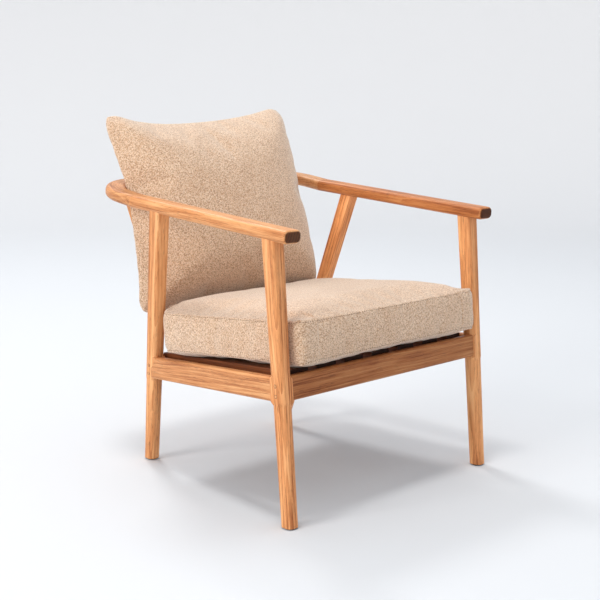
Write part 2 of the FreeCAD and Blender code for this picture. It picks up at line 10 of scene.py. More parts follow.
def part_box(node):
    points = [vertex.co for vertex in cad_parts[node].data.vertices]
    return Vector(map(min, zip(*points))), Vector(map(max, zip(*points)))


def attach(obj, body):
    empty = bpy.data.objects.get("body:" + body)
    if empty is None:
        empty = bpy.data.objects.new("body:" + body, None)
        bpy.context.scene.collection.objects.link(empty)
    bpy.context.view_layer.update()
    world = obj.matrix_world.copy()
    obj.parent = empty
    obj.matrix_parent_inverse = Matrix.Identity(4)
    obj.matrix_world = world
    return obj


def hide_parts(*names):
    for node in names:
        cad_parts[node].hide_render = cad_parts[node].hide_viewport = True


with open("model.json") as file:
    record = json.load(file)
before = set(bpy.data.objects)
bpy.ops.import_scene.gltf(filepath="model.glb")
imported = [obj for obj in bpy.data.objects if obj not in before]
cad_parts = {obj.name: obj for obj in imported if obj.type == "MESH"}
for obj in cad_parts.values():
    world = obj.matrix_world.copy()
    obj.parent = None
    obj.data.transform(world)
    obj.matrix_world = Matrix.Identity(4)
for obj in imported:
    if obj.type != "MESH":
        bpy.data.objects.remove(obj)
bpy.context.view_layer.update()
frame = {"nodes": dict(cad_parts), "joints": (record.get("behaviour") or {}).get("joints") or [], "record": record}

# The looks of a wooden armchair with a loose seat cushion and a loose back cushion.
# Metres, +Z up, the floor at Z = 0, the sitter faces -Y. The wood stays as the frame holds it
# and gets its materials here; the two cushions are sewn, inflated and shaped here.

MM = 0.001
scene = bpy.context.scene
nodes = frame["nodes"]


def new_object(name, mesh):
    obj = bpy.data.objects.new(name, mesh)
    scene.collection.objects.link(obj)
    return obj


def unit(vector):
    return Vector(vector).normalized()


# ---------------------------------------------------------------- material helpers
class Graph:
    """A short way to write a material's node tree: a new one, or more of a given one."""

    def __init__(self, name, material=None):
        self.material = material or bpy.data.materials.new(name)
        self.material.use_nodes = True
        self.tree = self.material.node_tree
        self.shader = self.tree.nodes["Principled BSDF"]

    def node(self, kind, settings=None, **inputs):
        made = self.tree.nodes.new("ShaderNode" + kind)
        for key, value in (settings or {}).items():
            setattr(made, key, value)
        for key, value in inputs.items():
            self.feed(made.inputs[key.replace("_", " ")], value)
        return made

    def feed(self, socket, value):
        if isinstance(value, bpy.types.NodeSocket):
            self.tree.links.new(value, socket)
        else:
            socket.default_value = value

    def math(self, operation, a, b=0.0):
        made = self.tree.nodes.new("ShaderNodeMath")
        made.operation = operation
        self.feed(made.inputs[0], a)
        self.feed(made.inputs[1], b)
        return made.outputs[0]

    def ramp(self, factor, low, high, to_low=0.0, to_high=1.0):
        """Maps low..high smoothly to to_low..to_high."""
        made = self.node("MapRange", {"interpolation_type": "SMOOTHSTEP"}, Value=factor)
        made.inputs["From Min"].default_value = low
        made.inputs["From Max"].default_value = high
        made.inputs["To Min"].default_value = to_low
        made.inputs["To Max"].default_value = to_high
        return made.outputs[0]

    def mix(self, factor, a, b, blend="MIX"):
        made = self.tree.nodes.new("ShaderNodeMix")
        made.data_type = "RGBA"
        made.blend_type = blend
        self.feed(made.inputs[0], factor)
        self.feed(made.inputs[6], a)
        self.feed(made.inputs[7], b)
        return made.outputs[2]

    def vector(self, operation, a, b=(0, 0, 0), output=0):
        made = self.tree.nodes.new("ShaderNodeVectorMath")
        made.operation = operation
        self.feed(made.inputs[0], a)
        self.feed(made.inputs[1], b)
        return made.outputs[output]

    def noise(self, vector, scale, detail=3.0, roughness=0.55, distortion=0.0):
        made = self.node("TexNoise", None, Vector=vector, Scale=scale, Detail=detail,
                         Roughness=roughness, Distortion=distortion)
        return made.outputs[0]

    def bump(self, height, strength, distance, normal=None):
        made = self.node("Bump", None, Height=height, Strength=strength, Distance=distance)
        if normal is not None:
            self.feed(made.inputs["Normal"], normal)
        return made.outputs[0]


def rgb(red, green, blue):
    """A colour from 0..255 screen values to the linear values that the shader wants."""
    out = []
    for value in (red, green, blue):
        part = value / 255
        out.append(part / 12.92 if part <= 0.04045 else ((part + 0.055) / 1.055) ** 2.4)
    return (*out, 1.0)


# ---------------------------------------------------------------- studio
CAMERA_AT = (-2.0206, -2.1131, 0.9157)
CAMERA_TURN = 44.33      # degrees from looking along +Y, clockwise seen from above
CAMERA_DIP = 10.15       # degrees below level
LENS_MM = 76.2
SENSOR_MM = 36.0
FLOOR_FLAT, FLOOR_BEND, WALL_HEIGHT = 4.6, 2.4, 3.0   # radius of the flat, of the bend
BEND_STEPS, STAGE_SIDES = 14, 96
PAPER_NEAR = (0.674, 0.690, 0.715, 1)    # the paper's colour under the chair
PAPER_FAR = (0.79, 0.785, 0.79, 1)       # and on the wall behind it
PAPER_CHANGE = (3.2, 7.4)                # the radii between which it changes
SKY_COLOUR, SKY_STRENGTH = (0.93, 0.965, 1.0, 1), 0.77
LIGHT_AIM = Vector((0, 0, 0.3))          # the height on the chair that the lights point at


def make_camera():
    data = bpy.data.cameras.new("camera")
    data.lens = LENS_MM
    data.sensor_width = SENSOR_MM
    obj = bpy.data.objects.new("camera", data)
    obj.location = CAMERA_AT
    obj.rotation_euler = (math.radians(90 - CAMERA_DIP), 0, math.radians(-CAMERA_TURN))
    scene.collection.objects.link(obj)
    scene.camera = obj


def make_stage():
    """A pale floor that sweeps up into a wall all round, far behind the chair."""
    profile = [(FLOOR_FLAT / 2, 0.0)]
    for i in range(BEND_STEPS + 1):
        angle = math.pi / 2 * i / BEND_STEPS
        profile.append((FLOOR_FLAT + FLOOR_BEND * math.sin(angle),
                        FLOOR_BEND * (1 - math.cos(angle))))
    profile.append((FLOOR_FLAT + FLOOR_BEND, FLOOR_BEND + WALL_HEIGHT))
    bm = bmesh.new()
    rings = []
    for radius, height in profile:
        ring = []
        for k in range(STAGE_SIDES):
            a = 2 * math.pi * k / STAGE_SIDES
            ring.append(bm.verts.new((radius * math.cos(a), radius * math.sin(a), height)))
        rings.append(ring)
    bm.faces.new(rings[0])
    for lower, upper in zip(rings, rings[1:]):
        for k in range(STAGE_SIDES):
            n = (k + 1) % STAGE_SIDES
            bm.faces.new((lower[k], lower[n], upper[n], upper[k]))
    bmesh.ops.recalc_face_normals(bm, faces=bm.faces)
    mesh = bpy.data.meshes.new("studio_floor")
    bm.to_mesh(mesh)
    bm.free()
    if mesh.polygons[0].normal.z < 0:
        mesh.flip_normals()
    mesh.shade_smooth()
    floor = new_object("studio_floor", mesh)
    g = Graph("studio_paper")
    place = g.node("TexCoord").outputs["Object"]
    far = g.ramp(g.vector("LENGTH", place, output=1), *PAPER_CHANGE)
    g.feed(g.shader.inputs["Base Color"], g.mix(far, PAPER_NEAR, PAPER_FAR))
    g.shader.inputs["Roughness"].default_value = 0.9
    mesh.materials.append(g.material)


def disc_light(name, azimuth, elevation, far, wide, irradiance, colour):
    """A round soft light aimed at the chair. It comes from the azimuth, in degrees from +X
    towards +Y, and the elevation; irradiance is what reaches the chair, in watts per m2."""
    data = bpy.data.lights.new(name, "AREA")
    data.shape = "DISK"
    data.size = wide
    data.energy = irradiance * math.pi * far ** 2
    data.color = colour
    obj = bpy.data.objects.new(name, data)
    a, e = math.radians(azimuth), math.radians(elevation)
    come = Vector((math.cos(a) * math.cos(e), math.sin(a) * math.cos(e), math.sin(e)))
    obj.location = come * far + LIGHT_AIM
    obj.rotation_euler = come.to_track_quat("Z", "Y").to_euler()
    scene.collection.objects.link(obj)


def make_lights():
    world = bpy.data.worlds.new("studio")
    world.use_nodes = True
    background = world.node_tree.nodes["Background"]
    background.inputs["Color"].default_value = SKY_COLOUR
    background.inputs["Strength"].default_value = SKY_STRENGTH
    scene.world = world
    disc_light("side", 176, 24, 6.4, 2.6, 1.35, (1.0, 0.985, 0.955))
    disc_light("overhead", 205, 78, 5.6, 1.0, 1.05, (1.0, 0.99, 0.97))
    disc_light("back", 72, 52, 6.0, 1.4, 0.95, (1.0, 1.0, 1.0))
    scene.view_settings.view_transform = "Standard"
    scene.view_settings.look = "None"


# ---------------------------------------------------------------- wood
END_SHARE = 0.94         # how fully a cut end takes the end grain's tone
PEG_EDGE = (2.6 * MM, 3.5 * MM)   # radii between which a peg's dark ring comes up
CORNER_OUTSIDE = 0.129   # radius of the outside of the bend between an arm and the crest rail


# cells per metre across the grain of each layer of the figure
RINGS, FIBRES, STREAKS, PATCHES, PORES = 52.0, 430.0, 120.0, 15.0, 900.0
END_DOTS = 1100.0
WOOD_ROUGHNESS, END_ROUGHER = 0.32, 0.16
GLOSS_BENT, GLOSS_STRAIGHT = 0.28, 0.2   # specular level of the bent and straight pieces
PORE_DEPTH = 0.4 * MM


def wood_material(name, place_in_board, seed, tones, end_share=None):
    """Oiled open-pored wood. place_in_board gives the place with its Z along the grain.

    Rings are wide bands of a trunk whose heart lies outside the board, streaks are long
    fibres, and pores are short dark dashes; cut ends are darker, with rings and dots."""
    g = Graph(name)
    light, mid, dark, end_grain = tones
    place = g.node("TexCoord").outputs["Object"]
    # each board is cut from another part of the tree
    board = g.vector("ADD", place_in_board(g, place),
                     (0.31 * seed % 1.7 + 0.4, 0.17 * seed % 1.3 + 0.3, 0.53 * seed % 2.1))

    wander = g.node("TexNoise", None, Vector=g.vector("MULTIPLY", board, (7.0, 7.0, 1.3)),
                    Scale=1.0, Detail=2.0).outputs["Color"]
    drift = g.vector("MULTIPLY", g.vector("SUBTRACT", wander, (0.5, 0.5, 0.5)), (0.07, 0.05, 0))
    shifted = g.vector("ADD", g.vector("MULTIPLY", board, (1, 1, 0.03)), drift)
    rings = g.node("TexWave", {"wave_type": "RINGS", "rings_direction": "Z",
                               "wave_profile": "SAW"},
                   Vector=shifted, Scale=RINGS, Distortion=1.0, Detail=2.0,
                   Detail_Scale=1.4).outputs["Fac"]
    fibres = g.noise(g.vector("MULTIPLY", board, (1, 1, 0.022)), FIBRES, 5.0, 0.68)
    streaks = g.noise(g.vector("MULTIPLY", board, (1, 1, 0.035)), STREAKS, 3.0, 0.6)
    patches = g.noise(g.vector("MULTIPLY", board, (1, 1, 0.25)), PATCHES, 3.0, 0.6)
    pores = g.noise(g.vector("MULTIPLY", board, (1, 1, 0.06)), PORES, 2.0, 0.5)
    pore_mask = g.math("MULTIPLY", g.ramp(pores, 0.57, 0.66),
                       g.ramp(streaks, 0.40, 0.58, 0.35, 1.0))

    tone = g.math("ADD", g.math("MULTIPLY", rings, 0.24),
                  g.math("ADD", g.math("MULTIPLY", g.ramp(fibres, 0.32, 0.68), 0.28),
                         g.math("ADD", g.math("MULTIPLY", g.ramp(streaks, 0.35, 0.65), 0.24),
                                g.math("MULTIPLY", g.ramp(patches, 0.32, 0.68), 0.24))))
    body = g.mix(g.ramp(tone, 0.12, 0.56), light, mid)
    body = g.mix(g.ramp(tone, 0.46, 0.92), body, dark)
    body = g.mix(g.math("MULTIPLY", pore_mask, 0.42), body, end_grain)
    relief = g.math("SUBTRACT", g.math("MULTIPLY", fibres, 0.35),
                    g.math("MULTIPLY", pore_mask, 0.8))
    g.feed(g.shader.inputs["Base Color"], body)
    rough = g.math("ADD", WOOD_ROUGHNESS, g.math("MULTIPLY", fibres, 0.18))

    if end_share is not None:
        axis, share = end_share
        normal = g.node("NewGeometry").outputs["Normal"]
        facing = g.math("ABSOLUTE", g.vector("DOT_PRODUCT", normal, tuple(axis), output=1))
        end = g.math("MULTIPLY", g.ramp(facing, 0.60, 0.90), share)
        dots = g.noise(board, END_DOTS, 2.0)
        speck = g.math("ADD", g.math("MULTIPLY", rings, 0.35), g.math("MULTIPLY", dots, 0.65))
        cut_tone = g.mix(g.ramp(speck, 0.30, 0.72), end_grain, g.mix(0.3, end_grain, dark))
        g.feed(g.shader.inputs["Base Color"], g.mix(end, body, cut_tone))
        rough = g.math("ADD", rough, g.math("MULTIPLY", end, END_ROUGHER))
    g.feed(g.shader.inputs["Roughness"], rough)
    gloss = GLOSS_BENT if end_share is None else GLOSS_STRAIGHT
    g.shader.inputs["Specular IOR Level"].default_value = gloss
    g.feed(g.shader.inputs["Normal"], g.bump(relief, 0.4, PORE_DEPTH))
    return g.material


def straight_grain(axis):
    """Object places turned so that their Z runs along the axis."""
    turn = axis.rotation_difference(Vector((0, 0, 1))).to_euler()

    def place_in_board(g, place):
        return g.node("Mapping", {"vector_type": "POINT"}, Vector=place, Rotation=turn).outputs[0]
    return place_in_board


def bent_grain(centre, radius):
    """Places round an upright axis through the centre, so that the grain follows the bend."""
    def place_in_board(g, place):
        spread = g.node("SeparateXYZ", None, Vector=g.vector("SUBTRACT", place, tuple(centre)))
        x, y, z = spread.outputs
        along = g.math("MULTIPLY", g.math("ARCTAN2", g.math("ABSOLUTE", x), y), radius)
        out = g.math("SQRT", g.math("ADD", g.math("MULTIPLY", x, x), g.math("MULTIPLY", y, y)))
        return g.node("CombineXYZ", None, X=out, Y=z, Z=along).outputs[0]
    return place_in_board


def tone_or_painted_light(tones, gain, warmth=1.0):
    """The same wood in a lighter or darker board, or made lighter or darker as painted light and shade."""
    return tuple((red * gain, green * gain / warmth, blue * gain / warmth ** 2, 1.0)
                 for red, green, blue, _ in tones)


# light, middle and dark figure, and cut end grain
OILED = (rgb(242, 182, 126), rgb(216, 146, 92), rgb(158, 90, 48), rgb(44, 14, 4))
# the slats' tones are darkened as painted shade of the gap under the seat cushion
SHADED_SLAT_TONES = (rgb(132, 76, 43), rgb(106, 57, 31), rgb(74, 38, 20), rgb(40, 19, 10))
SHADED_BELOW, SHADE_REDDER = 0.8, 1.2      # a board duller than the first is this much redder as well: painted shade, for the warmer look of wood in shade
PEG_TONE = 0.92
# how light each board is beside the mean: partly its own tone, partly painted light and shade (rails and arms
# darkened as painted shade, legs lightened as painted light); the last name that a node starts with counts
BOARD_TONES_AND_LIGHT = {"front_rail": 0.56, "rear_rail": 0.66, "side_rail": 0.90, "arm": 0.92,
               "corner": 0.82, "crest": 0.85, "spindle": 0.9, "arm_left": 0.74,
               "front_leg": 1.07, "rear_leg_right": 1.04, "rear_leg_left": 1.28}


def main_axis(name):
    """The direction in which a straight piece is longest, from its own points."""
    mesh = nodes[name].data
    middle = Vector((0, 0, 0))
    for vertex in mesh.vertices:
        middle += vertex.co
    middle /= len(mesh.vertices)
    axis = Vector((0.31, 0.52, 0.79))     # any start that no board is square to
    for _ in range(40):
        total = Vector((0, 0, 0))
        for vertex in mesh.vertices:
            arm = vertex.co - middle
            total += arm * arm.dot(axis)
        axis = total.normalized()
    return axis


def paint(name, material):
    mesh = nodes[name].data
    mesh.materials.clear()
    mesh.materials.append(material)


def peg_places(name):
    """Where the two pegs of a node are, seen along X: the middles of its upper and lower half."""
    points = [vertex.co for vertex in nodes[name].data.vertices]
    level = sum(point.z for point in points) / len(points)
    middles = []
    for half in ([p for p in points if p.z < level], [p for p in points if p.z >= level]):
        middles.append(sum(half, Vector()) / len(half))
    return middles


def peg_material(name, tones):
    """A peg's round end: the leg's own wood inside a thin dark ring."""
    material = wood_material("wood_" + name, straight_grain(Vector((1, 0, 0))), 3, tones)
    g = Graph(material.name, material)
    place = g.node("TexCoord").outputs["Object"]
    near = 1.0
    for middle in peg_places(name):
        away = g.vector("SUBTRACT", g.vector("MULTIPLY", place, (0, 1, 1)), (0, middle.y, middle.z))
        near = g.math("MINIMUM", near, g.vector("LENGTH", away, output=1))
    ring = g.ramp(near, *PEG_EDGE)
    link = g.shader.inputs["Base Color"].links[0].from_socket
    g.feed(g.shader.inputs["Base Color"], g.mix(g.math("MULTIPLY", ring, 0.8), link, tones[3]))
    return material


def paint_wood():
    slots = {part["node"]: part["material_slot"] for part in frame["record"]["subparts"]}
    for seed, name in enumerate(sorted(nodes), start=1):
        slot = slots[name]
        # slats take the darkened tones: painted shade under the cushion
        tones = SHADED_SLAT_TONES if slot == "slat_wood" else OILED
        # painted light and shade: a board's gain darkens or lightens it by how lit it looks, and darkened boards
        # are made redder
        for start, gain in BOARD_TONES_AND_LIGHT.items():
            if name.startswith(start):
                tones = tone_or_painted_light(OILED, gain, SHADE_REDDER if gain < SHADED_BELOW else 1.0)
        if name.startswith("corner"):
            low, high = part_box(name)
            side = 1 if low.x > 0 else -1
            outer = high.x if side > 0 else -low.x
            centre = Vector((side * (outer - CORNER_OUTSIDE), high.y - CORNER_OUTSIDE, 0))
            paint(name, wood_material("wood_" + name, bent_grain(centre, CORNER_OUTSIDE), seed,
                                      tones))
        elif slot == "peg_wood" and "pegs" in name:
            paint(name, peg_material(name, tone_or_painted_light(OILED, PEG_TONE)))
        elif slot in ("oiled_wood", "slat_wood", "peg_wood"):
            axis = main_axis(name) if slot != "peg_wood" else Vector((1, 0, 0))
            paint(name, wood_material("wood_" + name, straight_grain(axis), seed, tones,
                                      (axis, END_SHARE)))


# ---------------------------------------------------------------- fabric and small parts
# cells per metre of the wool's layers
NUBS, CURLS, YARNS, SPECKS, WOOL_PATCHES, WARP = 450.0, 1100.0, 300.0, 340.0, 19.0, 190.0
WARP_REACH = 3.2 * MM
NUB_HEIGHT = 1.3 * MM


def fabric_material(name, lit, shade, fleck):
    """Short looped wool: round nubs about two millimetres across, in mixed pale and brown yarns, with a soft bloom
    where light grazes it. The hollows between the nubs are darker, as painted shade."""
    g = Graph(name)
    place = g.node("TexCoord").outputs["Object"]
    warp = g.node("TexNoise", None, Vector=place, Scale=WARP, Detail=2.0).outputs["Color"]
    bent = g.vector("ADD", place, g.vector("MULTIPLY", warp, (WARP_REACH,) * 3))
    nubs = g.node("TexVoronoi", {"feature": "SMOOTH_F1"}, Vector=bent, Scale=NUBS)
    height = g.ramp(nubs.outputs["Distance"], 0.0, 0.75, 1.0, 0.0)
    curls = g.noise(bent, CURLS, 3.0, 0.6)
    yarn = g.noise(bent, YARNS, 2.0, 0.5)
    patches = g.noise(place, WOOL_PATCHES, 3.0, 0.6)
    specks = g.node("TexVoronoi", {"feature": "F1"}, Vector=bent, Scale=SPECKS)
    speck_pick = g.node("SeparateColor", None, Color=specks.outputs["Color"]).outputs[0]
    speck_mask = g.math("MULTIPLY", g.ramp(speck_pick, 0.90, 0.94),
                        g.ramp(specks.outputs["Distance"], 0.40, 0.18))

    pale = g.mix(g.ramp(yarn, 0.34, 0.68), lit, shade)
    pale = g.mix(g.math("MULTIPLY", g.ramp(patches, 0.36, 0.7), 0.30), pale, shade)
    # painted shade: the hollows between the nubs are darkened towards the fleck colour
    deep = g.mix(0.5, shade, fleck)
    colour = g.mix(g.ramp(height, 0.50, 0.05, 0.0, 0.85), pale, deep)
    colour = g.mix(g.math("MULTIPLY", speck_mask, 0.6), colour, fleck)
    g.feed(g.shader.inputs["Base Color"], colour)
    g.shader.inputs["Roughness"].default_value = 0.92
    g.shader.inputs["Specular IOR Level"].default_value = 0.2
    g.shader.inputs["Sheen Weight"].default_value = 0.9
    g.shader.inputs["Sheen Roughness"].default_value = 0.5
    g.shader.inputs["Sheen Tint"].default_value = rgb(252, 244, 234)
    relief = g.math("ADD", g.math("MULTIPLY", height, 0.7), g.math("MULTIPLY", curls, 0.5))
    g.feed(g.shader.inputs["Normal"], g.bump(relief, 0.9, NUB_HEIGHT))
    return g.material


PLAIN_GRAIN, PLAIN_SHADE = 600.0, 0.72


def plain_material(name, base, roughness, metallic=0.0):
    """One colour with a fine darker grain, for thread, nylon and steel."""
    g = Graph(name)
    place = g.node("TexCoord").outputs["Object"]
    speck = g.noise(place, PLAIN_GRAIN, 3.0)
    darker = (*[channel * PLAIN_SHADE for channel in base[:3]], 1.0)
    g.feed(g.shader.inputs["Base Color"], g.mix(g.ramp(speck, 0.3, 0.75), base, darker))
    g.shader.inputs["Roughness"].default_value = roughness
    g.shader.inputs["Metallic"].default_value = metallic
    g.feed(g.shader.inputs["Normal"], g.bump(speck, 0.2, 0.1 * MM))
    return g.material


def paint_small_parts():
    glide = plain_material("glide_nylon", rgb(46, 42, 40), 0.6)
    steel = plain_material("zinc_screw", rgb(176, 176, 172), 0.34, 1.0)
    for name in nodes:
        if "glide" in name:
            paint(name, glide)
        elif "screws" in name:
            paint(name, steel)


# ---------------------------------------------------------------- sewing and inflating
GRID_STEP = 11.0         # millimetres between a panel's grid lines


def finely(stops, step, near=(2.2, 5.5, 10.5)):
    """Positions from the first stop to the last, a step apart or less, and close together
    beside each stop, at the near distances from it."""
    out = []
    for low, high in zip(stops, stops[1:]):
        inner = [low] + [low + d for d in near if low + d < (low + high) / 2]
        outer = [high] + [high - d for d in near if high - d > (low + high) / 2]
        outer.reverse()
        count = max(1, round((outer[0] - inner[-1]) / step))
        middle = [inner[-1] + (outer[0] - inner[-1]) * k / count for k in range(1, count)]
        out += (inner + middle + outer)[:-1]
    out.append(stops[-1])
    return out


CLOTH_SETTINGS = {"quality": 6, "mass": 0.25, "tension_stiffness": 18.0,
                  "compression_stiffness": 18.0, "shear_stiffness": 6.0,
                  "bending_stiffness": 1.2, "use_pressure": True}
SIM_FRAMES = 16


def inflate(obj, pins, pressure, slack, cap):
    """Blows a closed sewn shape up as cloth that is held at the pinned vertices. slack is
    how much the cloth may grow, and no point moves further than the cap."""
    rest = [vertex.co.copy() for vertex in obj.data.vertices]
    held = obj.vertex_groups.new(name="held")
    held.add(sorted(pins), 1.0, "REPLACE")
    cloth = obj.modifiers.new("cloth", "CLOTH")
    settings = cloth.settings
    for key, value in CLOTH_SETTINGS.items():
        setattr(settings, key, value)
    settings.uniform_pressure_force = pressure
    settings.shrink_min = -slack
    settings.vertex_group_mass = "held"
    settings.effector_weights.gravity = 0.0
    cloth.point_cache.frame_start = 1
    cloth.point_cache.frame_end = SIM_FRAMES
    cloth.collision_settings.use_collision = False
    for frame_number in range(1, SIM_FRAMES + 1):
        scene.frame_set(frame_number)
    shaped = obj.evaluated_get(bpy.context.evaluated_depsgraph_get()).data
    moved = [vertex.co.copy() for vertex in shaped.vertices]
    obj.modifiers.remove(cloth)
    obj.vertex_groups.remove(held)
    for vertex, start, end in zip(obj.data.vertices, rest, moved):
        step = end - start
        if step.length > cap:
            step *= cap / step.length
        vertex.co = start + step
    scene.frame_set(1)


def subdivided(obj):
    """Applies one subdivision, so that the shape is in the mesh itself."""
    modifier = obj.modifiers.new("subdivide", "SUBSURF")
    modifier.levels = 1
    modifier.render_levels = 1
    data = bpy.data.meshes.new_from_object(obj.evaluated_get(
        bpy.context.evaluated_depsgraph_get()))
    obj.modifiers.remove(modifier)
    old = obj.data
    obj.data = data
    bpy.data.meshes.remove(old)
    obj.data.name = obj.name
    obj.data.shade_smooth()


def give(obj, material, body):
    obj.data.materials.clear()
    obj.data.materials.append(material)
    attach(obj, body)


def along_path(points, step):
    """Points at even spacing along an open or closed run of points."""
    out, carried = [], 0.0
    for a, b in zip(points, points[1:]):
        run = (b - a).length
        while carried <= run:
            out.append(a.lerp(b, carried / run))
            carried += step
        carried -= run
    return out


STITCH_PITCH = 6.4 * MM
STITCH_GAP = 0.34                    # the share of the pitch between two stitches
THREAD_RADIUS, THREAD_SIDES = 0.42 * MM, 6
# shares of a stitch's length, each with its height over the cloth in thread radii
STITCH_ARCH = ((0.0, -0.7), (0.14, 0.15), (0.5, 0.45), (0.86, 0.15), (1.0, -0.7))
STITCH_TIP = 0.55                    # how thin its ends are
STITCH_ASIDE = 3.2 * MM              # from the seam to the row


def stitch_row(name, cloth, path, aside, material, body):
    """A row of thread stitches that lie on the cloth beside a seam. aside is the way from
    the seam to the row."""
    tree = BVHTree.FromObject(cloth, bpy.context.evaluated_depsgraph_get())
    ends = along_path(path, STITCH_PITCH)
    tip = len(STITCH_ARCH) - 1
    bm = bmesh.new()
    for start, stop in zip(ends, ends[1:]):
        run = stop - start
        if run.length < STITCH_PITCH / 2:
            continue
        first, last = start + run * STITCH_GAP / 2, stop - run * STITCH_GAP / 2
        laid = []
        for share, over in STITCH_ARCH:
            at, normal, _, _ = tree.find_nearest(first.lerp(last, share) + aside)
            laid.append((at + normal * THREAD_RADIUS * over, normal))
        rings = []
        for k, (at, normal) in enumerate(laid):
            forward = unit(laid[min(k + 1, tip)][0] - laid[max(k - 1, 0)][0])
            side = unit(forward.cross(normal))
            up = side.cross(forward)
            thick = THREAD_RADIUS * (STITCH_TIP if k in (0, tip) else 1.0)
            ring = []
            for m in range(THREAD_SIDES):
                turn = 2 * math.pi * m / THREAD_SIDES
                out = side * math.cos(turn) + up * math.sin(turn)
                ring.append(bm.verts.new(at + out * thick))
            rings.append(ring)
        for lower, upper in zip(rings, rings[1:]):
            for m in range(THREAD_SIDES):
                n = (m + 1) % THREAD_SIDES
                bm.faces.new((lower[m], lower[n], upper[n], upper[m]))
        bm.faces.new(rings[0][::-1])
        bm.faces.new(rings[-1])
    bmesh.ops.recalc_face_normals(bm, faces=bm.faces)
    mesh = bpy.data.meshes.new(name)
    bm.to_mesh(mesh)
    bm.free()
    mesh.shade_smooth()
    give(new_object(name, mesh), material, body)


# ---------------------------------------------------------------- seat cushion
slide = [joint for joint in frame["joints"] if joint["name"] == "seat_cushion_slide"][0]
SEAT_BACK = -unit(slide["axis"])              # backwards along the slats
SEAT_UP = Vector((1, 0, 0)).cross(SEAT_BACK)  # square to the slats
SEAT_TURN = Matrix((Vector((1, 0, 0)), SEAT_BACK, SEAT_UP)).transposed()
NOTCH = (50.0, 50.0)     # taken out of each rear corner round the leg, across and deep
SEAM_INSET = 3.0         # from the cover's outside to the seams; the border bulges past them
SEAM_HEIGHTS = (16.0, 101.5)
PLAN_ROUND = 17.0        # radius of the cushion's upright corners
BORDER_BULGE = 4.0
TOP_CROWN = (20.0, 0.62)       # height in the middle and ease towards the edge
BOTTOM_CROWN = (-13.0, 0.36)
CROWN_POWER = 3.4        # how flat the panels stay in the middle
SLAT_CLEAR = 0.4
SIDE_ROOM, FRONT_ROOM = 3.0, 2.0   # how far the border may swell past the cover
NEARLY = 0.01            # a hair, for comparing places in millimetres


def span(name, turn):
    """A node's low and high corners in a turned frame, in millimetres."""
    turned = [turn.transposed() @ vertex.co / MM for vertex in nodes[name].data.vertices]
    low = [min(point[k] for point in turned) for k in range(3)]
    high = [max(point[k] for point in turned) for k in range(3)]
    return low, high


def seat_panels(bm, xs, ys, notch_x, notch_y):
    """The flat bottom and top, as grids of vertices by column and row, less the notches."""
    grids = []
    for z in SEAM_HEIGHTS:
        grid = {}
        for i, x in enumerate(xs):
            for j, y in enumerate(ys):
                if abs(x) < notch_x + NEARLY or y < notch_y + NEARLY:
                    grid[i, j] = bm.verts.new((x, y, z))
        for i in range(len(xs) - 1):
            for j in range(len(ys) - 1):
                corners = [grid.get(c) for c in ((i, j), (i + 1, j), (i + 1, j + 1), (i, j + 1))]
                if None not in corners:
                    bm.faces.new(corners if z == SEAM_HEIGHTS[1] else corners[::-1])
        grids.append(grid)
    return grids


def panel_edge(bm, grid):
    """Each key on a panel's edge, with the key that follows it round."""
    key_of = {vertex: key for key, vertex in grid.items()}
    follows = {}
    for edge in bm.edges:
        if len(edge.link_faces) == 1 and edge.verts[0] in key_of:
            loop = edge.link_faces[0].loops[0]
            while loop.edge != edge:
                loop = loop.link_loop_next
            follows[key_of[loop.vert]] = key_of[loop.link_loop_next.vert]
    return follows


def sew_border(bm, bottom, top, zs):
    """The upright border between two panels: its columns of vertices by key, in order."""
    follows = panel_edge(bm, top)
    start = min(follows)
    order = [start]
    while follows[order[-1]] != start:
        order.append(follows[order[-1]])
    column = {}
    for key in order:
        x, y = top[key].co.x, top[key].co.y
        between = [bm.verts.new((x, y, z)) for z in zs[1:-1]]
        column[key] = [bottom[key]] + between + [top[key]]
    for first, second in zip(order, order[1:] + order[:1]):
        a, b = column[first], column[second]
        for k in range(len(zs) - 1):
            bm.faces.new((a[k], b[k], b[k + 1], a[k + 1]))
    bmesh.ops.recalc_face_normals(bm, faces=bm.faces)
    return column


def round_plan(bm, corners):
    """Rounds upright corners: within a square at each one, squares become circles. A corner
    is its place in plan and the signs of the way inwards."""
    for x, y, to_x, to_y in corners:
        centre = Vector((x + to_x * PLAN_ROUND, y + to_y * PLAN_ROUND, 0))
        for vertex in bm.verts:
            arm = Vector((vertex.co.x - centre.x, vertex.co.y - centre.y, 0))
            if arm.x * to_x < 0 and arm.y * to_y < 0:
                widest = max(abs(arm.x), abs(arm.y))
                if widest < PLAN_ROUND + NEARLY:
                    vertex.co += arm * (widest / arm.length - 1)


def fill_border(column):
    """Bulges the border outwards between its seams."""
    border_low, border_high = SEAM_HEIGHTS
    order = list(column)
    for before, key, after in zip(order[-1:] + order, order, order[1:] + order[:1]):
        run = column[after][-1].co - column[before][-1].co
        outward = unit((run.y, -run.x, 0))
        for vertex in column[key][1:-1]:
            share = (vertex.co.z - border_low) / (border_high - border_low)
            vertex.co += outward * BORDER_BULGE * (1 - (2 * share - 1) ** 4) ** 0.6


def crown_panel(grid, half, depth, crown, ease):
    """Domes a panel. The lower the ease, the nearer to the edge it gets its height."""
    for vertex in grid.values():
        u = min(1.0, abs(vertex.co.x) / half)
        v = min(1.0, abs(vertex.co.y / depth * 2 - 1))
        rise = max(0.0, min(1 - u ** CROWN_POWER, 1 - v ** CROWN_POWER))
        vertex.co.z += crown * rise ** ease


